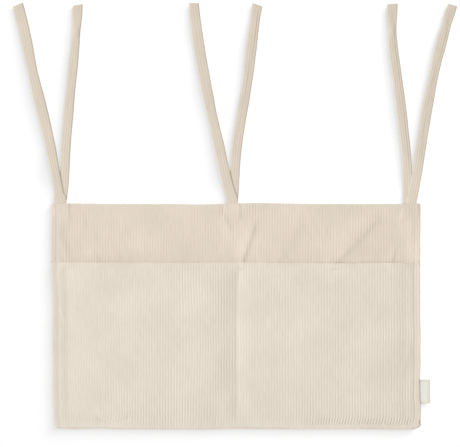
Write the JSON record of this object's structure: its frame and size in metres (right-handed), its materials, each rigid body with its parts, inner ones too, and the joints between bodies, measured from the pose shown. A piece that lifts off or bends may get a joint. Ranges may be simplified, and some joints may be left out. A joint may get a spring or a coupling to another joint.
{
  "type": "playpen organizer",
  "caption": "Flat corduroy hanging organizer for a cot or playpen rail: a double cloth panel with two wide open-topped pockets, paired tie ribbons along its top edge and a bare side tab.",
  "frame": {"origin": "middle of the rear face of the back panel, on the surface that the organizer lies on", "axes": "+X to the right along the panel's width, +Y up the panel to the ties, +Z out of the front, towards the pockets"},
  "size_m": [0.6969, 0.6695, 0.0137],
  "materials": {
    "corduroy": "wide-wale beige cotton corduroy, matt pile",
    "tie_cloth": "the same corduroy, folded to a ribbon with its ribs lengthwise",
    "tab_tape": "bare off-white woven tape"
  },
  "bodies": {
    "panel": {"back_panel": "corduroy", "front_panel": "corduroy", "pocket_panel": "corduroy", "side_tab": "tab_tape", "tie_left_fold": "tie_cloth", "tie_middle_fold": "tie_cloth", "tie_right_fold": "tie_cloth"},
    "tie_left_front": {"tie_left_front_leg": "tie_cloth"},
    "tie_left_rear": {"tie_left_rear_leg": "tie_cloth"},
    "tie_middle_front": {"tie_middle_front_leg": "tie_cloth"},
    "tie_middle_rear": {"tie_middle_rear_leg": "tie_cloth"},
    "tie_right_front": {"tie_right_front_leg": "tie_cloth"},
    "tie_right_rear": {"tie_right_rear_leg": "tie_cloth"}
  },
  "joints": [
    {"name": "tie_left_front_hinge", "type": "hinge", "parent": "panel", "child": "tie_left_front", "pos_m": [-0.2735, 0.18455, 0.00395], "axis": [1, 0, 0], "range_deg": [0, 150]},
    {"name": "tie_left_rear_hinge", "type": "hinge", "parent": "panel", "child": "tie_left_rear", "pos_m": [-0.2735, 0.18455, 0.00215], "axis": [1, 0, 0], "range_deg": [-150, 0]},
    {"name": "tie_middle_front_hinge", "type": "hinge", "parent": "panel", "child": "tie_middle_front", "pos_m": [-0.0055, 0.18455, 0.00395], "axis": [1, 0, 0], "range_deg": [0, 150]},
    {"name": "tie_middle_rear_hinge", "type": "hinge", "parent": "panel", "child": "tie_middle_rear", "pos_m": [-0.0055, 0.18455, 0.00215], "axis": [1, 0, 0], "range_deg": [-150, 0]},
    {"name": "tie_right_front_hinge", "type": "hinge", "parent": "panel", "child": "tie_right_front", "pos_m": [0.276, 0.18455, 0.00395], "axis": [1, 0, 0], "range_deg": [0, 150]},
    {"name": "tie_right_rear_hinge", "type": "hinge", "parent": "panel", "child": "tie_right_rear", "pos_m": [0.271, 0.18455, 0.00215], "axis": [1, 0, 0], "range_deg": [-150, 0]}
  ]
}
